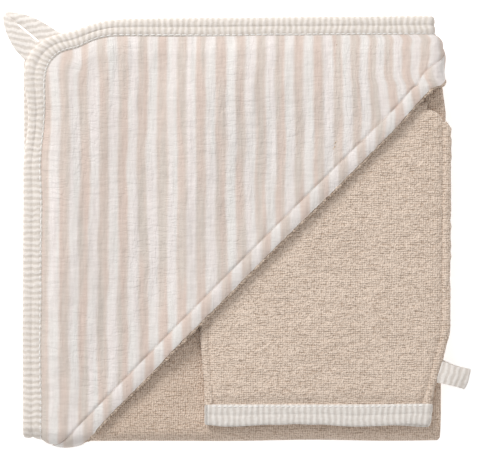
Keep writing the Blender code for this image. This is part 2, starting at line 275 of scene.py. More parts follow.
def terry_cloth(name, light, dark, grid=0.45):
    """Looped pile: short rows of loops with gaps between them, matted here and there. The colour follows the
    pile's height, so the gaps, the sides of the loops and the low parts of small wrinkles carry painted
    shade.

    grid says how clearly the loops also stand in columns.
    """
    p = Paint(name, 0.95, 0.2)
    loop = LOOP_PITCH
    place = p.place()
    x, y, _ = p.split(place)
    wander = p.grain(place, (0.40, 1.0), 240, 3, 0.6)
    broken = p.grain(place, (0.55, 1.0), 640, 2, 0.6)
    rows = ((y * (TAU / loop)) + (wander - 0.5) * 17).sine() * 0.5 + 0.5
    loops = ((x * (TAU / (1.05 * loop))) + (wander - 0.5) * 13).sine() * 0.5 + 0.5
    tufts = p.cells(p.stretched(place, (0.85, 1.0)), 1.05 / loop, 0.8)
    fine = p.noise(place, 1500, 2, 0.6)
    matted = p.noise(place, 48, 3, 0.6)
    shaded_gaps = rows.power(1.8) * (broken.step(0.38, 0.64) * 0.75 + 0.25)
    shaded_gaps = shaded_gaps * (1 - grid * 0.3) + loops.power(1.8) * grid * 0.65
    lumps = p.grain(place, (0.5, 1.0), 330, 2, 0.5)
    high = 1.04 - shaded_gaps * 0.55 - tufts.power(1.6) * 0.62 + (fine - 0.5) * 0.6
    # painted shade: the colour goes dark where the pile is low, between the loops and in the low parts of
    # the lumps; the matted patches are random tone
    tone = high + (matted - 0.5) * 0.22 + (lumps - 0.5) * 0.18
    high = high + lumps * 0.9
    colour = p.mix(tone.step(0.0, 1.0), dark, light)
    return p.finish(colour, high, 1.0 * MM, 0.8)


def stripe_wave(run, pitch, centre, low, high):
    """1 on the light stripes, 0 on the dark ones."""
    wave = (((run - centre) * (TAU / pitch)) + math.pi / 2).sine()
    return wave.step(low, high)


def muslin_cloth(name, light, dark, shift=0.0):
    """Crinkled double gauze with woven stripes that run down the cloth, each thread a little off."""
    p = Paint(name, 0.9, 0.1)
    s, t, _ = p.split(p.place("UV"))
    flat = p.vector(s, t, 0.0)
    drift = p.grain(flat, (1.0, 0.55), 30, 2, 0.5)
    nibble = p.grain(flat, (1.0, 0.12), 560, 3, 0.65)
    run = s + (drift - 0.5) * (5.5 * MM) + (nibble - 0.5) * (1.6 * MM)
    band = stripe_wave(run, MUSLIN_STRIPE, 6.69 * MM + shift, -0.62, 0.66)
    melange = p.grain(flat, (1.0, 0.06), 520, 4, 0.7)
    weft = p.grain(flat, (0.12, 1.0), 620, 3, 0.65)
    warm = p.grain(flat, (1.0, 0.10), 120, 2, 0.6)
    wash = p.grain(flat, (1.0, 0.4), 26, 2, 0.6)
    beige = p.mix(warm.step(0.34, 0.66), dark[0], dark[1])
    white = p.mix(warm.step(0.34, 0.66), light[0], light[1])
    colour = p.mix(band * (0.72 + wash * 0.45), beige, white)
    tone = (melange - 0.5) * 0.75 + (weft - 0.5) * 0.55 + (wash - 0.5) * 0.3 + 0.5
    colour = p.mix(tone.step(0.1, 0.9), p.mix(1.0, colour, (0.82, 0.80, 0.79), "MULTIPLY"), colour)
    crinkle = p.grain(flat, (1.0, 0.22), 170, 2, 0.5)
    across = p.grain(flat, (0.28, 1.0), 190, 2, 0.55)
    puckers = p.noise(flat, 300, 2, 0.5)
    crossways = p.grain(flat, (0.35, 1.0), 150, 3, 0.6) - 0.5
    upright = p.grain(flat, (1.0, 0.25), 190, 3, 0.6) - 0.5
    creases = (crossways * crossways * 260).step(0.0, 1.0) + (upright * upright * 260).step(0.0, 1.0)
    creases = creases * (wash.step(0.35, 0.65) * 0.75 + 0.25)
    height = crinkle * 0.9 + across * 0.35 + puckers * 0.15 + melange * 0.10 + creases * 0.085
    return p.finish(colour, height, 1.7 * MM, 0.7)


def striped_tape(name, light, dark):
    """Woven tape with fine stripes across its run."""
    p = Paint(name, 0.88, 0.1)
    run, across, _ = p.split(p.place("UV"))
    flat = p.vector(run, across, 0.0)
    drift = p.grain(flat, (0.6, 1.3), 150, 2, 0.5)
    faded = p.grain(flat, (0.5, 0.8), 90, 2, 0.6)
    band = stripe_wave(run + (drift - 0.5) * (3.4 * MM), TAPE_STRIPE, 0.0, -1.0, 1.0)
    slub = p.grain(flat, (0.30, 1.0), 800, 3, 0.65)
    cross = p.grain(flat, (1.0, 0.4), 620, 3, 0.65)
    colour = p.mix(band * (0.45 + faded) + (0.22 - faded * 0.3), dark, light)
    tone = (slub - 0.5) * 0.6 + (cross - 0.5) * 0.6 + 0.5
    colour = p.mix(tone.step(0.1, 0.9), p.mix(1.0, colour, (0.80, 0.79, 0.78), "MULTIPLY"), colour)
    height = band * 0.25 + slub * 0.45 + cross * 0.45
    return p.finish(colour, height, 0.8 * MM, 0.7)


def plain_thread(name, colour):
    """Twisted sewing thread, with painted shade in the grooves of its twist."""
    p = Paint(name, 0.7, 0.1)
    run, across, _ = p.split(p.place("UV"))
    twist = ((run * (TAU / THREAD_TWIST)) + across * TAU).sine()
    # painted shade: darker where the twist's bump is low
    tone = p.mix(twist.step(-1.0, 1.0), [c * 0.82 for c in colour], colour)
    return p.finish(tone, twist, 0.1 * MM, 0.5)


# each terry's second colour is the painted shade of its pile's low parts
TERRY_TOWEL = terry_cloth("towel_terry", (0.82, 0.665, 0.545), (0.47, 0.325, 0.23), grid=0.8)
TERRY_MITT = terry_cloth("mitt_terry", (0.87, 0.72, 0.60), (0.50, 0.365, 0.27), grid=0.55)
# The lining's terry is darker than the towel's: painted shade for the shadow that the hem casts on the
# lining's loops along its edge.
LINING_TERRY_SHADED = terry_cloth("lining_terry", (0.76, 0.62, 0.50), (0.36, 0.24, 0.165))
MUSLIN_LIGHT = ((0.84, 0.815, 0.785), (0.88, 0.815, 0.79))
MUSLIN_DARK = ((0.75, 0.62, 0.55), (0.70, 0.63, 0.57))
MUSLIN = muslin_cloth("hood_muslin", MUSLIN_LIGHT, MUSLIN_DARK)
MUSLIN_HEM = muslin_cloth("hem_muslin", MUSLIN_LIGHT, MUSLIN_DARK, 3.2 * MM)
TAPE = striped_tape("binding_tape", (0.92, 0.855, 0.80), (0.755, 0.685, 0.615))
CUFF_TAPE = striped_tape("cuff_tape", (0.90, 0.85, 0.80), (0.765, 0.705, 0.65))
LOOP_TAPE = striped_tape("loop_tape", (0.95, 0.895, 0.845), (0.75, 0.685, 0.625))
WHITE_THREAD = plain_thread("white_thread", (1.0, 0.98, 0.95))
# The hem's stitches are grey thread, darkened further so they also paint the shadow line of the stitched
# groove they sit in.
GREY_THREAD_GROOVE_SHADE = plain_thread("grey_thread", (0.48, 0.44, 0.41))


# ------ smooth unevenness
LATTICE = np.random.RandomState(11).rand(256, 256) * 2 - 1


def uneven(x, y, layer=0):
    """Smooth noise from -1 to 1 on a plane; x and y are in units of its own grain."""
    x = np.asarray(x, float) + layer * 37.3
    y = np.asarray(y, float) + layer * 91.7
    i, j = np.floor(x).astype(int), np.floor(y).astype(int)
    u, v = x - i, y - j
    u, v = u * u * (3 - 2 * u), v * v * (3 - 2 * v)
    a, b = LATTICE[i % 256, j % 256], LATTICE[(i + 1) % 256, j % 256]
    c, d = LATTICE[i % 256, (j + 1) % 256], LATTICE[(i + 1) % 256, (j + 1) % 256]
    return (a * (1 - u) + b * u) * (1 - v) + (c * (1 - u) + d * u) * v


def ease(t):
    """0 to 1 with a soft start and end."""
    t = np.clip(t, 0, 1)
    return t * t * (3 - 2 * t)


def ramp(value, start, reach):
    """0 up to a start in mm, 1 from a reach in mm beyond it."""
    return ease((value - start * MM) / (reach * MM))


def joined(*numbers):
    """Coordinates side by side."""
    return np.stack(numbers, -1)


def hump(t, low, high):
    """0 at both ends of a span and 1 in its middle."""
    u = np.clip((t - low) / (high - low), 0, 1)
    return np.sin(math.pi * u) ** 2


# ------ how the cloth is folded
# how far the right side is drawn in (second number) at each y (first number), in mm
RIGHT_SIDE = np.array(
    [
        (-140, -5.8), (-116, -5.0), (-98, -5.0), (-83, -4.6), (-70, -4.4), (-55, -4.2), (-40, -4.0),
        (50, -4.0), (62, -3.0), (70, -2.0), (76, -2.7), (83, -3.7), (89, -4.3), (93, -6.6), (97, -7.2),
        (102, -7.1), (112, -7.5), (116, -6.6), (118.3, -7.4), (120.2, -9.5), (121, -9.9), (127, -10.6),
        (140, -11.4),
    ]
) * MM
LEFT_DRAWN = 1.2 * MM
LEFT_BULGE = 3.4 * MM
LOWER_EDGE_OUT = 3.0 * MM
REAR_DRAWN = 6 * MM
FREE_DROOP = 3.0 * MM
FRONT_TIP_OUT = 3.2 * MM
CORNER_PULL = 6.2 * MM


def stack(layers):
    """How high a number of layers stands above a third's underside."""
    return layers * PITCH - GAP / 2


def fold(s, t, h):
    """The folded place of a point of the flat cloth: pleats across, pleats down, then its outline."""
    s, t, h = (np.asarray(v, float) for v in np.broadcast_arrays(s, t, h))

    # pleats across: one layer over the next, with a bend at the right and one at the left
    x, up = LEFT + s, stack(2.5) + h
    turn_1 = np.clip((s - RUN_A) / BEND_R, 0, math.pi)
    on = s > RUN_A
    x = np.where(on, BEND_RIGHT + (BEND_R + h) * np.sin(turn_1), x)
    up = np.where(on, stack(2) + (BEND_R + h) * np.cos(turn_1), up)
    start = RUN_A + TURN
    on = s > start
    x = np.where(on, BEND_RIGHT - (s - start), x)
    up = np.where(on, stack(1.5) - h, up)
    start += RUN_B
    turn_2 = np.clip((s - start) / BEND_R, 0, math.pi)
    on = s > start
    x = np.where(on, BEND_LEFT - (BEND_R - h) * np.sin(turn_2), x)
    up = np.where(on, stack(1) + (BEND_R - h) * np.cos(turn_2), up)
    start += TURN
    on = s > start
    x = np.where(on, BEND_LEFT + (s - start), x)
    up = np.where(on, stack(0.5) + h, up)

    # pleats down: the whole third goes round the front bend, then back round the rear bend
    rear = REAR - REAR_DRAWN * ease((s - RUN_A) / 0.05)
    w = up + GAP / 2
    y = rear - t * (rear - FRONT_Y) / DROP_1
    z = FRONT_Z + w
    phi = np.clip((t - DROP_1) / BEND_T, 0, 1) * math.pi
    on = t > DROP_1
    y = np.where(on, FRONT_Y - w * np.sin(phi), y)
    z = np.where(on, FRONT_Z + w * np.cos(phi), z)
    on = t > T_FRONT
    y = np.where(on, FRONT_Y + (t - T_FRONT), y)
    z = np.where(on, FRONT_Z - w, z)
    phi = np.clip((t - T_REAR) / BEND_T, 0, 1) * math.pi
    back = THIRD - w
    on = t > T_REAR
    y = np.where(on, REAR_Y + back * np.sin(phi), y)
    z = np.where(on, REAR_Z + back * np.cos(phi), z)
    on = t > T_REAR + BEND_T
    y = np.where(on, REAR_Y - (t - T_REAR - BEND_T), y)
    z = np.where(on, REAR_Z - back, z)

    # the outline: no side of the packet is quite straight, and its free front left edge droops
    top_third = 1 - ease((t - DROP_1) / BEND_T)
    x = x + np.interp(y, RIGHT_SIDE[:, 0], RIGHT_SIDE[:, 1]) * ramp(x, 45, 82)
    on_left = 1 - ease((x - LEFT) / (45 * MM))
    x = x + LEFT_BULGE * hump(y, 36 * MM, 106 * MM) * on_left * top_third
    x = x + LOWER_EDGE_OUT * ramp(y, 102, 12) * on_left * (1 - top_third)
    x = x - LEFT_DRAWN * on_left
    x = x + 0.5 * MM * uneven(y / 0.045, s * 3, 5) * ease(np.abs(x) / 0.13)
    free = (1 - ramp(s, 2, 30)) * (1 - ramp(y, 55, 38))
    z = z - FREE_DROOP * free * top_third
    y = y + (1.1 * MM * x / 0.133) * ramp(y, 30, 100) * top_third
    beside_tip = 1 - ease((x - LEFT - 4 * MM) / 0.012)
    sag = 1.0 * MM + 0.7 * MM * uneven(x / 0.05, 0.5, 7) - FRONT_TIP_OUT * beside_tip
    y = y - sag * ease((-y - 0.115) / 0.012)
    dx, dy = x - LEFT - CORNER_R, y - REAR + CORNER_R
    away, bearing = np.hypot(dx, dy), np.degrees(np.arctan2(dy, dx))
    pull = CORNER_PULL * np.exp(-(((bearing - 108) / 28) ** 2)) * ease(away / (22 * MM)) * top_third
    away = np.maximum(away, 1e-6)
    x, y = x - dx / away * pull, y - dy / away * pull
    return joined(x, y, z)


# ------ making pieces
SHARP = math.radians(62)


def deselect():
    if bpy.context.object and bpy.context.object.mode != "OBJECT":
        bpy.ops.object.mode_set(mode="OBJECT")
    bpy.ops.object.select_all(action="DESELECT")


def cloth(name, across, down, shape, mat, thick=0.0, closed=False):
    """A grid shaped into cloth. shape(a, b) gives places, a pattern place and a share for the fold.

    With thick it gets a thickness; closed joins its first and last column into a tube with ends, and
    closed="ring" joins the tube's ends as well.
    """
    deselect()
    bpy.ops.mesh.primitive_grid_add(x_subdivisions=across, y_subdivisions=down, size=2)
    obj = bpy.context.object
    obj.name = obj.data.name = name
    mesh = obj.data
    count = len(mesh.vertices)
    flat = np.empty(count * 3)
    mesh.vertices.foreach_get("co", flat)
    flat = flat.reshape(-1, 3)
    a = np.rint((flat[:, 0] + 1) / 2 * across) / across
    b = np.rint((flat[:, 1] + 1) / 2 * down) / down
    places, pattern, share = shape(a, b)
    mesh.vertices.foreach_set("co", np.asarray(places, np.float32).ravel())
    loops = np.empty(len(mesh.loops), int)
    mesh.loops.foreach_get("vertex_index", loops)
    uv = mesh.uv_layers[0]
    uv.data.foreach_set("uv", np.asarray(pattern, np.float32)[loops].ravel())
    if share is not None:
        layer = mesh.attributes.new("share", "FLOAT", "POINT")
        layer.data.foreach_set("value", np.asarray(share, np.float32))
    mesh.update()
    bpy.ops.object.mode_set(mode="EDIT")
    bpy.ops.mesh.select_all(action="SELECT")
    if closed:
        bpy.ops.mesh.remove_doubles(threshold=2e-6)
    if closed and closed != "ring":
        bpy.ops.mesh.select_all(action="DESELECT")
        bpy.ops.mesh.select_non_manifold(extend=False, use_wire=False, use_multi_face=False,
                                         use_non_contiguous=False, use_verts=False)
        bpy.ops.mesh.fill()
        bpy.ops.mesh.select_all(action="SELECT")
    bpy.ops.mesh.normals_make_consistent(inside=False)
    bpy.ops.object.mode_set(mode="OBJECT")
    if thick:
        step = obj.modifiers.new("thickness", "SOLIDIFY")
        step.thickness = thick
        step.offset = 0
        step.use_even_offset = False
        bpy.ops.object.modifier_apply(modifier=step.name)
    bpy.ops.object.shade_smooth_by_angle(angle=SHARP)
    mesh = obj.data
    mesh.materials.clear()
    mesh.materials.append(mat)
    return obj


def bend_between(obj, a, b):
    """The piece bends between two bodies by the share stored on its points."""
    mesh = obj.data
    share = np.empty(len(mesh.vertices), np.float32)
    mesh.attributes["share"].data.foreach_get("value", share)
    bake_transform(obj, a, b, start=(0, 0, 0.1), end=(0, 0, 0))
    mesh.attributes["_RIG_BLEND"].data.foreach_set("value", share)
    mesh.attributes.remove(mesh.attributes["share"])
    return obj


def stations(*spans):
    """Points along a line, each span given as (end, step)."""
    points = [spans[0]]
    for end, step in spans[1:]:
        n = max(1, int(round(abs(end - points[-1]) / step)))
        points += list(np.linspace(points[-1], end, n + 1)[1:])
    return np.array(points)


def nearest(share, count):
    """The whole number nearest to a share of a count."""
    return np.rint(share * count).astype(int)


def at(table, a):
    """The table's entry at a share of its length."""
    return table[nearest(a, len(table) - 1)]


def lengths(points):
    """The length along a line up to each of its points."""
    return np.concatenate([[0], np.cumsum(np.linalg.norm(np.diff(points, axis=0), axis=1))])


# ------ the terry towel
def corner_inset(t):
    """How far in the rounded corners bring a side at t."""
    reach = np.minimum(np.clip(t, 0, None), np.clip(LONG - t, 0, None))
    near = np.clip(CORNER_R - reach, 0, CORNER_R)
    return CORNER_R - np.sqrt(CORNER_R**2 - near**2)


EDGE_IN = 3 * MM
NEAR_SIDE = 80 * MM
TOWEL_SHEET = 2.2 * MM
TURN_1 = RUN_A + TURN
TURN_2 = TURN_1 + RUN_B


def towel_columns(fine, coarse):
    """Where the towel's columns lie: close together on the side that shows and round its bends."""
    return stations(
        0.0, (60 * MM, fine), (RUN_A, fine * 1.2), (TURN_1, 0.45 * MM), (TURN_2, coarse),
        (TURN_2 + TURN, 0.45 * MM), (WIDE, coarse),
    )


def towel_piece(name, columns, rows, bend):
    """Half of the towel; bend is where it starts to bend between its two bodies."""

    def shape(a, b):
        s, t = at(columns, a), at(rows, b)
        inset = EDGE_IN + corner_inset(t)
        squeeze = (NEAR_SIDE - inset) / NEAR_SIDE
        s = np.where(s < NEAR_SIDE, inset + s * squeeze, s)
        far = WIDE - s
        s = np.where(far < NEAR_SIDE, WIDE - (inset + far * squeeze), s)
        soft = 0.35 * MM * uneven(s / 0.018, t / 0.014, 2)
        soft = soft + 0.12 * MM * uneven(s / 0.0045, t / 0.0028, 3)
        shown = (s < RUN_A - 6 * MM) & (t < DROP_1)
        h = np.where(shown, soft, 0.15 * soft)
        return fold(s, t, h), joined(s, t), ease((t - bend) / BEND_T)

    return cloth(name, len(columns) - 1, len(rows) - 1, shape, TERRY_TOWEL, TOWEL_SHEET)


front_rows = stations(
    EDGE_IN, (45 * MM, 2.5 * MM), (170 * MM, 5 * MM), (DROP_1, 2.2 * MM), (T_FRONT, 0.6 * MM),
    (T_MIDDLE, 9 * MM),
)
rear_rows = stations(
    T_MIDDLE, (T_REAR, 9 * MM), (T_REAR + BEND_T, 0.6 * MM), (LONG - 45 * MM, 9 * MM),
    (LONG - EDGE_IN, 2.5 * MM),
)

front = towel_piece("towel_terry_front", towel_columns(2.4 * MM, 8 * MM), front_rows, DROP_1)
bend_between(front, "top_third", "middle_third")
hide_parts("towel_top_third", "towel_front_fold", "towel_middle_third")
rear = towel_piece("towel_terry_rear", towel_columns(6 * MM, 9 * MM), rear_rows, T_REAR)
bend_between(rear, "middle_third", "bottom_third")
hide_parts("towel_rear_fold", "towel_bottom_third")
LONG - T_MIDDLE


# ------ the bound edge
def edge_line(points):
    """Places and inward directions along an edge made of straights and corner arcs."""
    line, inward = [], []
    for kind, *rest in points:
        if kind == "straight":
            (s0, t0), (s1, t1), marks = rest
            length = math.hypot(s1 - s0, t1 - t0)
            way = ((s1 - s0) / length, (t1 - t0) / length)
            for m in marks:
                line.append((s0 + way[0] * m, t0 + way[1] * m))
                inward.append((-way[1], way[0]))
        else:
            s0, t0, start, end = rest
            for d in np.radians(np.linspace(start, end, 40)):
                line.append((s0 + CORNER_R * math.cos(d), t0 + CORNER_R * math.sin(d)))
                inward.append((-math.cos(d), -math.sin(d)))
    line, inward = np.array(line), np.array(inward)
    return line, inward, lengths(line)


STEP = 1.3 * MM
STITCH_PITCH = 3.9 * MM
top_run = WIDE - 2 * CORNER_R
across_marks = stations(
    0.0, (RUN_A - CORNER_R, STEP), (TURN_1 - CORNER_R, 0.4 * MM), (TURN_2 - CORNER_R, 2 * STEP),
    (TURN_2 + TURN - CORNER_R, 0.4 * MM), (top_run, 2 * STEP),
)
up_marks = stations(0.0, (DROP_2 / 2, 3 * STEP), (DROP_2 / 2 + BEND_T, 0.6 * MM),
                    (T_MIDDLE - CORNER_R, STEP))
down_marks = (T_MIDDLE - CORNER_R) - up_marks[::-1]
front_edge = edge_line([
    ("straight", (0, T_MIDDLE), (0, CORNER_R), up_marks),
    ("arc", CORNER_R, CORNER_R, 180, 270),
    ("straight", (CORNER_R, 0), (WIDE - CORNER_R, 0), across_marks),
    ("arc", WIDE - CORNER_R, CORNER_R, -90, 0),
    ("straight", (WIDE, CORNER_R), (WIDE, T_MIDDLE), down_marks),
])
low_marks = stations(0.0, (T_REAR - T_MIDDLE, 3 * STEP), (T_REAR - T_MIDDLE + BEND_T, 0.6 * MM),
                     (LONG - CORNER_R - T_MIDDLE, 2 * STEP))
rise_marks = (LONG - CORNER_R - T_MIDDLE) - low_marks[::-1]
rear_edge = edge_line([
    ("straight", (WIDE, T_MIDDLE), (WIDE, LONG - CORNER_R), low_marks),
    ("arc", WIDE - CORNER_R, LONG - CORNER_R, 0, 90),
    ("straight", (WIDE - CORNER_R, LONG), (CORNER_R, LONG), top_run - across_marks[::-1]),
    ("arc", CORNER_R, LONG - CORNER_R, 90, 180),
    ("straight", (0, LONG - CORNER_R), (0, T_MIDDLE), rise_marks),
])

TAPE_SECTION = np.array([
    (0.00, -0.35), (0.00, 0.20), (0.03, 0.62), (0.10, 0.88), (0.22, 1.00), (0.36, 1.00), (0.44, 0.92),
    (0.485, 0.78), (0.53, 0.86), (0.62, 0.95), (0.76, 0.97), (0.86, 0.84), (0.91, 0.70), (0.96, 0.72),
    (0.99, 0.56), (1.00, 0.15), (1.00, -0.40), (0.96, -0.80), (0.70, -0.95), (0.30, -0.95), (0.06, -0.85),
])


TAPE_PRESSED = 1.25 * MM
TAPE_PROUD = 2.70 * MM


def tape_height(s, t):
    """How far the tape stands above the cloth's middle: proud on the hood's side, pressed below."""
    shown = (1 - ease((s - RUN_A) / (10 * MM))) * (1 - ease((t - T_FRONT) / (10 * MM)))
    return TAPE_PRESSED + (TAPE_PROUD - TAPE_PRESSED) * shown


def tape_width(s, t):
    """The tape's width, which spreads a little round the hood's corner."""
    away = np.hypot(s - 3 * MM, t - 27 * MM)
    wide = TAPE_W * (1 + 0.30 * (1 - ease(away / (40 * MM)))) + 0.9 * MM * ease((s - 0.05) / 0.05)
    wide = wide + 0.9 * MM * ease((t - 0.07) / 0.05) * (s < 0.05)
    return wide + 0.25 * MM * uneven((s + t) / 0.013, 0, 6)


def tape_piece(name, edge, bend):
    """The tape round an edge: a section of two layers and their turned edges, drawn along the edge."""
    line, inward, run = edge
    count = len(TAPE_SECTION)
    real_run = lengths(fold(*(line + inward * TAPE_W / 2).T, 1.0 * MM))

    def shape(a, b):
        i = nearest(a, count) % count
        j = nearest(b, len(line) - 1)
        part, rise = TAPE_SECTION[i].T
        s0, t0 = line[j].T
        wide = tape_width(s0, t0)
        s = s0 + inward[j, 0] * part * wide
        t = t0 + inward[j, 1] * part * wide
        up = tape_height(s0, t0)
        pucker = 0.07 * MM * np.sin(run[j] * TAU / STITCH_PITCH)
        pucker = pucker + 0.18 * MM * uneven(run[j] / 0.006, part * 2, 8)
        h = np.where(rise > 0, rise * up + pucker * (rise > 0.5), rise * TAPE_PRESSED)
        wander = 0.3 * MM * uneven(part * 3, run[j] / 0.02, 9)
        pattern = joined(real_run[j] + wander, part * wide + rise * up)
        return fold(s, t, h), pattern, ease((t - bend) / BEND_T)

    return cloth(name, count, len(line) - 1, shape, TAPE, closed=True)


front_tape = tape_piece("binding_tape_front", front_edge, DROP_1)
bend_between(front_tape, "top_third", "middle_third")
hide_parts("binding_hood_corner", "binding_top_right", "binding_rear_middle",
            "binding_middle_left", "binding_middle_right")
rear_tape = tape_piece("binding_tape_rear", rear_edge, T_REAR)
bend_between(rear_tape, "middle_third", "bottom_third")
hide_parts("binding_front_left", "binding_front_middle", "binding_front_right")


def stitch_row(name, centre, mat, bodies, node, pitch=STITCH_PITCH, dash=3.0 * MM, thick=0.32 * MM):
    """A row of stitches: one thread that dips into the cloth between them.

    centre(run) gives the place of the thread's middle and its share; centre(None) gives the length.
    """
    total = centre(None)
    count = int(total / pitch)
    parts = np.array([(-0.5, 0.25), (-0.32, 0.9), (0.32, 0.9), (0.5, 0.25)])
    rings, sides = len(parts), 6

    def shape(a, b):
        i = nearest(a, sides) % sides
        j = nearest(b, count * rings - 1)
        stitch, ring = j // rings, j % rings
        along, size = parts[ring].T
        size = size * thick
        run = (stitch + 0.5) * pitch + along * dash
        turn = i * TAU / sides
        sink = np.where((ring == 0) | (ring == rings - 1), -0.25 * MM, 0.0)
        place, share = centre(run, size * np.cos(turn) * 1.15, size * np.sin(turn) + sink)
        return place, joined(run, i / sides), share

    obj = cloth(name, sides, count * rings - 1, shape, mat, closed=True)
    if len(bodies) == 2:
        bend_between(obj, *bodies)
    else:
        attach(obj, bodies[0])
    if node:
        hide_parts(node)
    return obj


def along_edge(edge, inset, lift, bend):
    """The line that a row of stitches follows on the tape."""
    line, inward, run = edge

    def centre(at_run, side=0.0, up=0.0):
        if at_run is None:
            return run[-1]
        s0, t0 = (np.interp(at_run, run, line[:, k]) for k in (0, 1))
        n0, n1 = (np.interp(at_run, run, inward[:, k]) for k in (0, 1))
        wide = tape_width(s0, t0)
        s = s0 + n0 * (wide * inset + side)
        t = t0 + n1 * (wide * inset + side)
        h = tape_height(s0, t0) + lift + up
        return fold(s, t, h), ease((t - bend) / BEND_T)

    return centre


stitch_row("binding_stitches_front", along_edge(front_edge, 0.90, -0.62 * MM, DROP_1), WHITE_THREAD,
           ("top_third", "middle_third"), "binding_topstitch")
stitch_row("binding_stitches_rear", along_edge(rear_edge, 0.90, -0.30 * MM, T_REAR), WHITE_THREAD,
           ("middle_third", "bottom_third"), None)


# ------ the hood
HOOD_BEND_S = 5.4 * MM
HOOD_BEND_T = 10.6 * MM
S_MAX = RUN_A + math.radians(140) * HOOD_BEND_S
T_MAX = DROP_1 + math.radians(85) * HOOD_BEND_T
HEM_LOFT = 1.5 * MM
MITT_SPREAD = 48 * MM
LEG = 7.5 * MM
LEG_R = CORNER_R - LEG


def hood_row_ends(c):
    """The two ends of a line s + t = c across the hood, one on each bound side."""
    c = np.asarray(c, float)
    k = np.clip((2 * CORNER_R - c) / (LEG_R * math.sqrt(2)), -1, 1)
    swing = np.arccos(k)
    arc_l, arc_r = (
        joined(CORNER_R + LEG_R * np.cos(ang), CORNER_R + LEG_R * np.sin(ang))
        for ang in (math.radians(225) - swing, math.radians(225) + swing)
    )
    on_arc = (c < LEG + CORNER_R)[..., None]
    left = joined(np.maximum(LEG, c - T_MAX), np.minimum(c - LEG, T_MAX))
    right = joined(np.minimum(c - LEG, S_MAX), np.maximum(LEG, c - S_MAX))
    return np.where(on_arc, arc_l, left), np.where(on_arc, arc_r, right)


def hood_fold(s, t, h):
    """The hood lies outside the towel, so it needs more cloth to go round the same bends."""
    s = np.where(s > RUN_A, RUN_A + (s - RUN_A) * BEND_R / HOOD_BEND_S, s)
    t = np.where(t > DROP_1, DROP_1 + (t - DROP_1) * (BEND_T / math.pi) / HOOD_BEND_T, t)
    place = fold(s, t, h)
    near_side = ease((place[..., 0] - 0.095) / 0.035)
    place[..., 0] -= 2.7 * MM * near_side * ease((0.110 - place[..., 1]) / 0.013)
    return place


def mitt_rise(x, y):
    """How much the hood is lifted by the mitt under it."""
    dx = np.maximum(np.maximum(MITT_LEFT - x, x - MITT_RIGHT), 0)
    dy = np.maximum(y - MITT_TOP, 0)
    return (MITT_ROOF - TOP) * (1 - ease((np.hypot(1.5 * dx, dy) - 2 * MM) / MITT_SPREAD))


def hood_share(s, t):
    """How much a point of the hood follows its hem: none along the sewn sides and the folds."""
    y, x = REAR - t, LEFT + s
    side = ease((np.minimum(s, t) - TAPE_W) / 0.115)
    return side * ease((y - FRONT_Y) / 0.09) * ease((BEND_RIGHT - x) / 0.09)


def raised(s, t):
    """How much the hood stands off the towel: over the mitt, and along its hem, most at the middle."""
    near = ease((s + t - (HEM - 60 * MM)) / (60 * MM))
    middle = ease(np.minimum(s, t) / (70 * MM))
    return mitt_rise(LEFT + s, REAR - t) + HEM_LOFT * near * middle


def beyond_tape(s, t):
    """How far a point is inside the bound edge."""
    beside = np.minimum(s, t)
    round_it = (s < CORNER_R) & (t < CORNER_R)
    beside = np.where(round_it, CORNER_R - np.hypot(CORNER_R - s, CORNER_R - t), beside)
    return beside - tape_width(s, t)


def puffed(s, t, low, high, reach=12 * MM):
    """Rises from low beside the tape to high away from it."""
    return low + (high - low) * np.sqrt(ease((beyond_tape(s, t) + 0.6 * MM) / reach))


# the deeper creases: a point each passes through, its lean, depth, width, and where it starts and ends
CREASES = (
    (196, 75, 0.32, 1.0, 1.9, 52, 112),
    (205, 75, 0.20, 0.7, 1.6, 30, 96),
    (92, 30, -0.18, 0.8, 1.5, 9, 52),
)


def crinkles(s, t):
    """Long soft ripples down the muslin, small puckers, and a few deeper creases."""
    drift = 4 * MM * uneven(s / 0.06, t / 0.05, 21)
    ripple = 0.42 * MM * uneven((s + drift) / 0.0052, t / 0.034, 22)
    ripple += 0.30 * MM * uneven((s - drift) / 0.0105, t / 0.06, 23)
    pucker = 0.16 * MM * uneven(s / 0.0034, t / 0.0062, 24)
    broad = 0.55 * MM * uneven(s / 0.03, t / 0.045, 25)
    crease = 0.0
    for at_s, at_t, lean, deep, wide, start, end in CREASES:
        slant = (s - at_s * MM) + lean * (t - at_t * MM)
        crease -= deep * MM * np.exp(-((slant / wide / MM) ** 2)) * hump(t, start * MM, end * MM)
    gathers = 0.35 * MM * np.sin(s * TAU / 0.0083 + 3 * uneven(s / 0.02, 1, 26))
    gathers *= np.exp(-np.maximum(t - 11 * MM, 0) / (9 * MM)) * (s > t)
    side = 0.30 * MM * np.sin(t * TAU / 0.0090 + 3 * uneven(t / 0.02, 2, 27))
    side *= np.exp(-np.maximum(s - 11 * MM, 0) / (7 * MM)) * (t > s)
    inside = beyond_tape(s, t)
    folds = (ripple + pucker + broad + crease) * ease(inside / (7 * MM))
    return folds + (gathers + side) * ease(inside / (2.5 * MM))


def hood_point(c, e):
    """A point of the hood a share e along its line s + t = c. The lines straighten towards the hem."""
    left, right = hood_row_ends(c)
    place = left + (right - left) * e[..., None]
    s, t = place[..., 0], place[..., 1]
    s_in, t_in = np.minimum(s, RUN_A), np.minimum(t, DROP_1)
    seen = fold(s_in, t_in, 4 * MM)
    bent = seen[..., 0] - LEFT - s_in - seen[..., 1] + REAR - t_in
    bow = -2.4 * MM * np.sin(math.pi * e) - 2.2 * MM * ease((e - 0.82) / 0.14)
    share = np.clip(c / HEM, 0, 1) ** 3 * ramp(t, 9, 15) * ramp(s, 9, 15)
    return s, t - (bent - bow) * share


def hem_sway(c, e):
    """The hem band's free edge isn't quite straight."""
    return 1.0 * MM * uneven(e * 13, 7, 32) * ease((c - SHELL_END) / HEM_BAND)


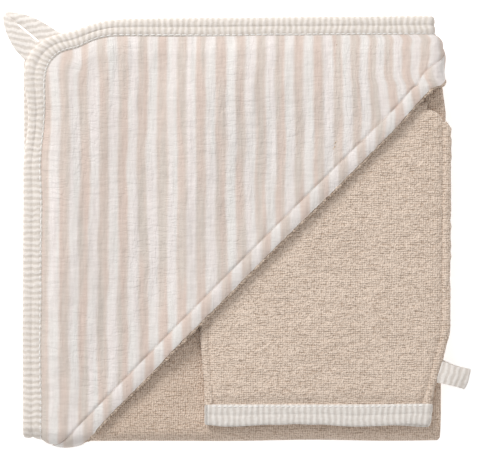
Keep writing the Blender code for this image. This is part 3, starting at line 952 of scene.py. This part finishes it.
def hood_sheet(lines, height, wander=0.0):
    """The shape of a layer of the hood. height(s, t, c) is its own height above the towel."""

    def shape(a, b):
        c = at(lines, b)
        c = c + hem_sway(c, a)
        c = np.where(b > 0.999, c + wander * uneven(a * 180, 3, 31), c)
        s, t = hood_point(c, a)
        h = height(s, t, c) + raised(s, t)
        return hood_fold(s, t, h), joined(s, t), hood_share(s, t)

    return shape


SHELL_END = HEM - HEM_BAND
HEM_RUN = HEM * 1.2
TIP = 2 * CORNER_R - LEG_R * math.sqrt(2)
shell_lines = stations(TIP + 0.4 * MM, (SHELL_END - 6 * MM, 2.5 * MM), (SHELL_END, 1.0 * MM))
lining_lines = stations(TIP + 0.4 * MM, (HEM - 10 * MM, 6 * MM), (HEM + 1.6 * MM, 1.0 * MM))
band_lines = stations(SHELL_END - 0.5 * MM, (HEM, 0.75 * MM))


def shell_height(s, t, c):
    full = puffed(s, t, 0.95 * MM, 3.9 * MM)
    pinch = np.exp(-(((SHELL_END - c) / (1.7 * MM)) ** 2))
    return full + crinkles(s, t) * (1 - 0.75 * pinch) - 0.9 * MM * pinch


def lining_height(s, t, c):
    frill = 0.35 * MM * uneven(s / 0.0016, t / 0.0016, 33) * ease((c - HEM + 3 * MM) / (3 * MM))
    return puffed(s, t, 0.1 * MM, 2.35 * MM) + frill


def band_height(s, t, c):
    part = (c - SHELL_END) / HEM_BAND
    crown = 0.95 * MM * np.sqrt(np.clip(np.sin(math.pi * np.clip(part, 0.02, 0.98)), 0, 1))
    ripple = 0.22 * MM * uneven((s - t) / 0.011, 4, 34) + 0.13 * MM * uneven((s - t) / 0.004, 5, 35)
    return puffed(s, t, 1.0 * MM, 3.35 * MM) + crown + ripple


lining = cloth("hood_lining_terry", 220, len(lining_lines) - 1,
               hood_sheet(lining_lines, lining_height, 0.8 * MM), LINING_TERRY_SHADED, thick=1.5 * MM)
bend_between(lining, "top_third", "hood_hem")
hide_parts("hood_lining")
HOOD_AREA = HEM**2 / 2 - (HEM - S_MAX) ** 2 / 2 - (HEM - T_MAX) ** 2 / 2
shell = cloth("hood_shell_muslin", 210, len(shell_lines) - 1, hood_sheet(shell_lines, shell_height),
              MUSLIN, thick=0.7 * MM)
bend_between(shell, "top_third", "hood_hem")
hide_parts("hood_shell")
band = cloth("hood_hem_band", 260, len(band_lines) - 1, hood_sheet(band_lines, band_height, 0.35 * MM),
             MUSLIN_HEM, thick=0.8 * MM)
bend_between(band, "top_third", "hood_hem")
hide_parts("hood_rim")
HOOD_AREA - HEM_BAND * HEM * 0.9


LOOP_SIDES = 9


def lining_edge(a, b):
    """The loops of the lining that show along the hem, as one uneven roll."""
    sides = LOOP_SIDES
    turn = (nearest(a, sides) % sides) * TAU / sides
    e = 0.003 + 0.994 * b
    s0, t0 = hood_point(HEM + 0.9 * MM + hem_sway(HEM, e), e)
    run = b * HEM_RUN
    loopy = 1 + 0.55 * uneven(run / 0.0014, np.cos(turn) + 4, 71)
    loopy = loopy + 0.30 * uneven(run / 0.0031, np.sin(turn) + 7, 72)
    side = 1.15 * MM * np.cos(turn) * loopy
    s, t = s0 + side * 0.71, t0 + side * 0.71
    h = puffed(s, t, 0.4 * MM, 2.7 * MM) + 1.0 * MM * np.sin(turn) * loopy + raised(s, t)
    return hood_fold(s, t, h), joined(s, t), hood_share(s, t)


# the roll takes the lining's darker terry, painted shade for the hem's shadow
loops = cloth("hood_lining_edge", LOOP_SIDES, 620, lining_edge, LINING_TERRY_SHADED, closed=True)
bend_between(loops, "top_third", "hood_hem")


def along_hem(at_run, side=0.0, up=0.0):
    """The line that the hem's stitches follow."""
    if at_run is None:
        return HEM_RUN
    e = 0.012 + 0.976 * at_run / HEM_RUN
    s, t = hood_point(np.full(np.shape(e), SHELL_END + 0.4 * MM), e)
    s, t = s + side * 0.7, t + side * 0.7
    h = puffed(s, t, 0.9 * MM, 3.15 * MM) + up + raised(s, t)
    return hood_fold(s, t, h), hood_share(s, t)


# the dark grey thread also paints the groove's shadow line
stitch_row("hood_hem_stitches", along_hem, GREY_THREAD_GROOVE_SHADE, ("top_third", "hood_hem"), "hood_topstitch",
           pitch=3.0 * MM, dash=2.5 * MM, thick=0.22 * MM)


# ------ the wash mitt
MITT_MID = (MITT_LEFT + MITT_RIGHT) / 2 - 2.5 * MM
CUFF_HALF = 70.8 * MM
MITT_R = 15 * MM
ROLL = 6.0 * MM
ROLL_TALL = 3.9 * MM
CUFF_BEND_R = 1.15 * MM
CUFF_THICK = 0.95 * MM
TAPER_Y = CUFF_TOP + 50 * MM


def mitt_side(y, inset):
    """Left and right sides of the mitt at y."""
    low = np.clip((TAPER_Y - y) / (TAPER_Y - CUFF_TOP), 0, 1)
    low = (ease(low) + low) / 2
    left = MITT_LEFT + (MITT_MID - CUFF_HALF - MITT_LEFT) * low + inset
    outer = MITT_RIGHT + 3.4 * MM
    right = outer + (MITT_MID + CUFF_HALF - outer) * low - inset
    r = MITT_R - inset
    into = np.clip(y - (MITT_TOP - inset - r), 0, r)
    round_in = r - np.sqrt(np.maximum(r * r - into * into, 0))
    sway = 0.5 * MM * uneven(y / 0.03, 0.3, 41)
    return left + round_in + sway, right - round_in + 0.7 * sway


def mitt_panel(z_edge, z_top, fine, inset, sign=1):
    """A face of the mitt that swells from z_edge at its sides to z_top."""

    def shape(a, b):
        low, high = CUFF_TOP - 4 * MM, MITT_TOP - inset
        y = low + (high - low) * b
        left, right = mitt_side(np.minimum(y, high - 0.02 * MM), inset)
        x = left + (right - left) * a
        edge = np.minimum(np.minimum(x - left, right - x), high - y)
        rise = np.sqrt(ease((edge + 0.3 * MM) / (4.5 * MM)))
        rows_of_pile = 0.26 * MM * uneven(x / 0.010, y / 0.0026, 42)
        rows_of_pile = rows_of_pile + 0.13 * MM * uneven(x / 0.006, y / 0.0040, 43)
        broad = 0.40 * MM * uneven(x / 0.035, y / 0.028, 44)
        pile = fine * MM * uneven(x / 0.0018, y / 0.0015, 45)
        lumps = (rows_of_pile + broad + pile) * ease(edge / (3 * MM))
        near_cuff = 1 - ease((y - CUFF_TOP - 0.4 * MM) / (7 * MM))
        lumps = lumps * (1 - 0.8 * near_cuff)
        z = z_edge + (z_top - z_edge) * rise + sign * lumps - sign * 1.5 * MM * near_cuff
        return joined(x, y, z), joined(x, y), None

    return shape


MITT_MIDZ = (MITT_FLOOR + MITT_ROOF) / 2
face_shape = mitt_panel(MITT_MIDZ + 0.4 * MM, MITT_ROOF - 0.3 * MM, 0.20, ROLL - 1.1 * MM)
under_shape = mitt_panel(MITT_MIDZ - 0.9 * MM, MITT_FLOOR + 0.9 * MM, 0.0, ROLL - 1.4 * MM, -0.2)
mitt_face = cloth("mitt_front_terry", 170, 210, face_shape, TERRY_MITT, thick=1.5 * MM)
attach(mitt_face, "wash_mitt")
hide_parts("mitt_front_panel")
mitt_under = cloth("mitt_back_terry", 60, 74, under_shape, TERRY_MITT, thick=1.3 * MM)
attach(mitt_under, "wash_mitt")
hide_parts("mitt_back_panel")


def mitt_line():
    """The mitt's side and top, as a line inside its outer edge."""
    inset = ROLL / 2
    r = MITT_R - inset
    top = MITT_TOP - inset
    ys = stations(CUFF_TOP + 0.4 * MM, (top - r, 1.6 * MM))
    left, right = mitt_side(ys, inset)
    l_end, r_end = left[-1] + r, right[-1] - r
    xs = stations(l_end, (r_end, 1.6 * MM))
    turn = np.radians(np.linspace(180, 90, 16))[1:-1]
    reach, rise = r * np.cos(turn), top - r + r * np.sin(turn)
    return np.concatenate([
        joined(left, ys),
        joined(l_end + reach, rise),
        joined(xs, np.full(len(xs), top)),
        joined(r_end + (r * np.cos(turn[::-1])), rise[::-1]),
        joined(right, ys)[::-1],
    ])


def seam_shape(line, half_wide, half_tall, sides):
    """An uneven roll along a line."""
    way = np.gradient(line, axis=0)
    way /= np.hypot(*way.T)[:, None]
    out = joined(-way[:, 1], way[:, 0])
    run = lengths(line)

    def shape(a, b):
        turn = (nearest(a, sides) % sides) * TAU / sides
        j = nearest(b, len(line) - 1)
        lumpy = 1 + 0.13 * uneven(run[j] / 0.0036, np.cos(turn) * 2 + 5, 51)
        lumpy = lumpy + 0.11 * uneven(run[j] / 0.0019, np.sin(turn) * 3 + 9, 52)
        wide = half_wide * np.cos(turn) * lumpy
        tall = half_tall * np.sin(turn) * lumpy
        xy = line[j] + out[j] * wide[:, None]
        z = MITT_MIDZ + 0.1 * MM + tall
        return np.column_stack([xy, z]), joined(run[j], turn / TAU), None

    return shape


SEAM_SIDES = 18
side_line = mitt_line()
seam = cloth("mitt_seam_roll", SEAM_SIDES, len(side_line) - 1,
             seam_shape(side_line, ROLL / 2, ROLL_TALL / 2, SEAM_SIDES), TERRY_MITT, closed=True)
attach(seam, "wash_mitt")
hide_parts("mitt_side_seam")

CUFF_SECTION = np.array([
    (0.00, 0.00), (0.01, 0.55), (0.06, 0.88), (0.18, 1.00), (0.36, 0.98), (0.45, 0.86), (0.49, 0.66),
    (0.54, 0.86), (0.64, 0.98), (0.80, 1.00), (0.91, 0.90), (0.97, 0.60), (1.00, 0.0), (0.95, -0.45),
    (0.50, -0.45), (0.05, -0.45),
])


CUFF_STEPS = 300


def cuff_slant(x):
    """How much the cuff rises towards its right end."""
    return 0.5 * MM * ramp(x, 20, 50)


def cuff_ring(a, b):
    """The cuff's tape, run across the mitt's front, round its end, across its back and round again."""
    count, steps = len(CUFF_SECTION), CUFF_STEPS
    i = nearest(a, count) % count
    j = nearest(b, steps) % steps
    part, rise = CUFF_SECTION[i].T
    half, r = CUFF_HALF - 0.4 * MM, CUFF_BEND_R
    flat_run = 2 * (half - r)
    run = j / steps * (2 * flat_run + TAU * r)
    on_top = run < flat_run
    x = np.where(on_top, -half + r + run, half - r - (run - flat_run - math.pi * r))
    z = np.where(on_top, r, -r)
    nx, nz = np.zeros_like(x), np.where(on_top, 1.0, -1.0)
    for start, sign in ((flat_run, 1), (2 * flat_run + math.pi * r, -1)):
        turn = np.clip((run - start) / r, 0, math.pi)
        bend = (run >= start) & (run <= start + math.pi * r)
        nx, nz = np.where(bend, sign * np.sin(turn), nx), np.where(bend, sign * np.cos(turn), nz)
        x, z = np.where(bend, sign * (half - r) + r * nx, x), np.where(bend, r * nz, z)
    upper = np.clip(z / r, -1, 1) * 0.5 + 0.5
    swing = 1.2 * MM * uneven(x / 0.04 + 3, 0.5, 61) + 0.4 * MM * uneven(x / 0.009, 1.5, 62)
    droop = -1.5 * MM * ramp(x, 42, 20) * (1 - upper)
    droop = droop - 0.9 * MM * ramp(x, 45, 30)
    y = CUFF_TOP + 0.6 * MM - part * (CUFF_TOP - CUFF_LOW + 0.4 * MM) + swing * part + droop * part
    y = y + cuff_slant(x)
    x = x - 1.7 * MM * part * part * ramp(x, 50, 18)
    thick = CUFF_THICK * (1 + 0.10 * uneven(x / 0.006, part * 2, 63))
    pucker = 0.10 * MM * np.sin(run * TAU / TAPE_STRIPE) * (rise > 0.5)
    out = rise * thick + pucker
    place = joined(MITT_MID + x + nx * out, y, MITT_MIDZ + 0.1 * MM + z + nz * out)
    return place, joined(run, part * TAPE_W), None


cuff = cloth("mitt_cuff_tape", len(CUFF_SECTION), CUFF_STEPS, cuff_ring, CUFF_TAPE,
             closed="ring")
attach(cuff, "wash_mitt")
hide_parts("mitt_cuff_binding")


def along_cuff(at_run, side=0.0, up=0.0):
    """The line that the cuff's stitches follow."""
    if at_run is None:
        return 2 * CUFF_HALF - 8 * MM
    x = -CUFF_HALF + 4 * MM + at_run
    swing = 0.8 * MM * uneven(x / 0.05 + 3, 0.5, 61) + 0.25 * MM * uneven(x / 0.009, 1.5, 62)
    y = CUFF_TOP - 0.75 * MM + side + 0.1 * swing + cuff_slant(x)
    return joined(MITT_MID + x, y, MITT_MIDZ + 2.17 * MM + up + 0 * x), None


stitch_row("mitt_cuff_stitches", along_cuff, WHITE_THREAD, ("wash_mitt",), "mitt_cuff_stitch",
           pitch=3.3 * MM, dash=2.6 * MM)

# ------ the mitt's loop
TAB_TURN = math.radians(-17)
TAB_WIDE, TAB_LONG = 13.75 * MM, 19 * MM
TAB_BEND_R = 0.85 * MM


def joint_place(name):
    return next(joint["pos_m"] for joint in frame["joints"] if joint["name"] == name)


tab_joint = joint_place("mitt_loop_hinge")


def tab_shape(a, b):
    """Doubled tape that runs out from the seam, round its end and back."""
    v = (a - 0.5) * TAB_WIDE
    r = TAB_BEND_R
    straight = TAB_LONG - r
    total = 2 * straight + math.pi * r
    run = b * total
    turn = np.clip((run - straight) / r, 0, math.pi)
    u = np.where(run < straight, run, straight + r * np.sin(turn))
    u = np.where(run > straight + math.pi * r, total - run, u)
    w = r * np.cos(turn)
    top = w > 0
    bow = 0.9 * MM * np.sin(math.pi * np.clip(u / TAB_LONG, 0, 1)) * np.where(top, 1, -0.2)
    v = v + np.where(top, 0, 0.9 * MM) * (1 - u / TAB_LONG)
    u = u - 1.2 * MM
    w = w + bow - 0.8 * MM + 0.25 * MM * np.cos(v / TAB_WIDE * 5)
    far = ease(u / TAB_LONG)
    u = u - 0.9 * MM * far * (2 * v / TAB_WIDE) ** 4 + 0.5 * MM * uneven(v / 0.004, 1.5, 81) * far
    v = v * (1 - 0.09 * np.sin(math.pi * np.clip(u / TAB_LONG, 0, 1))) + 0.7 * MM * far * far
    x = tab_joint[0] + math.cos(TAB_TURN) * u - math.sin(TAB_TURN) * v
    y = tab_joint[1] + math.sin(TAB_TURN) * u + math.cos(TAB_TURN) * v
    return joined(x, y, tab_joint[2] + w), joined(run, v), None


tab_tape = cloth("mitt_loop_tape", 20, 60, tab_shape, LOOP_TAPE, thick=0.55 * MM)
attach(tab_tape, "mitt_loop")
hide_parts("mitt_loop")

# ------ the hanging loop
# outlines seen from above, in mm, from the loop's tip to its root
LEAF_OUTER = (
    [(-146.0, 134.2), (-146.4, 130.5), (-145.0, 124.0), (-141.8, 116.6), (-137.8, 110.4),
     (-131.4, 104.0), (-127.5, 101.5)],
    [(-144.6, 135.4), (-140.0, 135.3), (-133.5, 134.2), (-127.3, 132.0), (-121.2, 129.0),
     (-114.2, 124.4), (-107.5, 120.6)],
)
LEAF_MIDDLE = [(-145.4, 134.8), (-141.6, 131.5), (-137.4, 128.0), (-132.2, 123.8), (-127.0, 119.4),
               (-121.9, 115.3), (-117.6, 111.8)]
loop_joint = joint_place("hanging_loop_hinge")


def smooth_line(points, share):
    """A rounded line through points, at a share of its length."""
    points = np.array(points, float) * MM
    marks = np.linspace(0, 1, len(points))
    blur = [np.clip(share + d, 0, 1) for d in (-0.08, -0.04, 0.0, 0.04, 0.08)]
    return sum(joined(*(np.interp(q, marks, line) for line in points.T)) for q in blur) / 5


def leaf_arm(side):
    """One arm of the hanging loop: side 0 is the lower arm, side 1 the upper."""

    def shape(a, b):
        outer = smooth_line(LEAF_OUTER[side], b)
        gap = 0.9 * MM * np.minimum(1, 1.8 * hump(b, 0.19, 0.90)) - 0.35 * MM
        inner = smooth_line(LEAF_MIDDLE, b) + np.array([-0.64, -0.77]) * (gap * (1 - 2 * side))[:, None]
        place = outer + (inner - outer) * a[:, None]
        crown = 0.9 * MM * np.sin(math.pi * np.clip(a, 0, 1)) * np.sin(math.pi * np.clip(b, 0, 1)) ** 0.5
        droop = -2.0 * MM * (1 - b) ** 1.5 - 0.8 * MM * side * (1 - b)
        z = loop_joint[2] - 1.4 * MM + crown + droop + side * 0.5 * MM * b
        z = z - 0.9 * MM * ease((a - 0.70) / 0.30) * (1 - ease((b - 0.12) / 0.25))
        tilt = math.radians(-12 if side == 0 else 10)
        run = place[:, 1] * math.cos(tilt) - place[:, 0] * math.sin(tilt)
        over = place[:, 0] * math.cos(tilt) + place[:, 1] * math.sin(tilt)
        return np.column_stack([place, z]), joined(run, over), None

    return shape


for side, name in ((0, "hanging_loop_lower_arm"), (1, "hanging_loop_upper_arm")):
    arm = cloth(name, 14, 44, leaf_arm(side), LOOP_TAPE, thick=0.9 * MM)
    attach(arm, "hanging_loop")
    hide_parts("hanging_loop")

# ------ the floor
deselect()
bpy.ops.mesh.primitive_plane_add(size=6, location=(0, 0, -0.2 * MM))
floor = bpy.context.object
floor.name = floor.data.name = "floor"
backdrop = bpy.data.materials.new("white_backdrop")
backdrop.use_nodes = True
white = backdrop.node_tree.nodes["Principled BSDF"].inputs
white["Base Color"].default_value = (0.97, 0.97, 0.97, 1)
white["Roughness"].default_value = 1.0
white["Emission Color"].default_value = (1, 1, 1, 1)
white["Emission Strength"].default_value = 0.5
floor.data.materials.append(backdrop)
